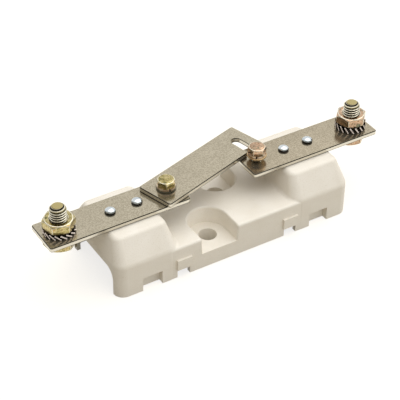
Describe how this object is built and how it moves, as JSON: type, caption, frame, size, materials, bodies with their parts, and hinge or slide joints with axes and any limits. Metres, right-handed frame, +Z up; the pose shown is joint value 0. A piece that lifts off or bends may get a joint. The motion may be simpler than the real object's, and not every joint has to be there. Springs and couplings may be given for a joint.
{
  "type": "disconnectable neutral terminal",
  "caption": "Moulded insulating base carrying flat plated bars with threaded terminal bolts, joined by a slotted link that swings open to isolate the neutral.",
  "frame": {"origin": "centre of the mounting plane, midway between the fixing holes, on the underside of the base", "axes": "+X along the bars towards the slotted end of the link, +Y to the rear, away from the camera, +Z up from the mounting plane"},
  "size_m": [0.225, 0.0642, 0.0568],
  "materials": {
    "moulding": "satin, cream moulding compound",
    "plated_bar": "bright tin plating on copper, warm grey",
    "rivet_steel": "bright domed heads",
    "bright_steel": "spring steel, dark, with a thin bright zinc plating",
    "passivated_steel": "zinc plating with yellow iridescent passivation"
  },
  "bodies": {
    "base": {"base": "moulding", "bar_right": "plated_bar", "bar_left": "plated_bar", "rivet_left_inner": "rivet_steel", "rivet_left_outer": "rivet_steel", "terminal_bolt_left": "passivated_steel", "lock_washer_left": "bright_steel", "terminal_nut_left": "passivated_steel", "link_screw_left": "passivated_steel", "link_washer_left": "passivated_steel", "link_spring_washer_left": "passivated_steel", "link_nut_left": "passivated_steel", "rivet_right_inner": "rivet_steel", "rivet_right_outer": "rivet_steel", "terminal_bolt_right": "passivated_steel", "lock_washer_right": "bright_steel", "terminal_nut_right": "passivated_steel", "link_screw_right": "passivated_steel", "link_washer_right": "passivated_steel", "link_spring_washer_right": "passivated_steel", "link_nut_right": "passivated_steel"},
    "link": {"link": "plated_bar"}
  },
  "joints": [
    {"name": "link_swing", "type": "hinge", "parent": "base", "child": "link", "pos_m": [-0.0315, 0, 0.0405], "axis": [0, 0, 1], "range_deg": [-17, 105]}
  ]
}
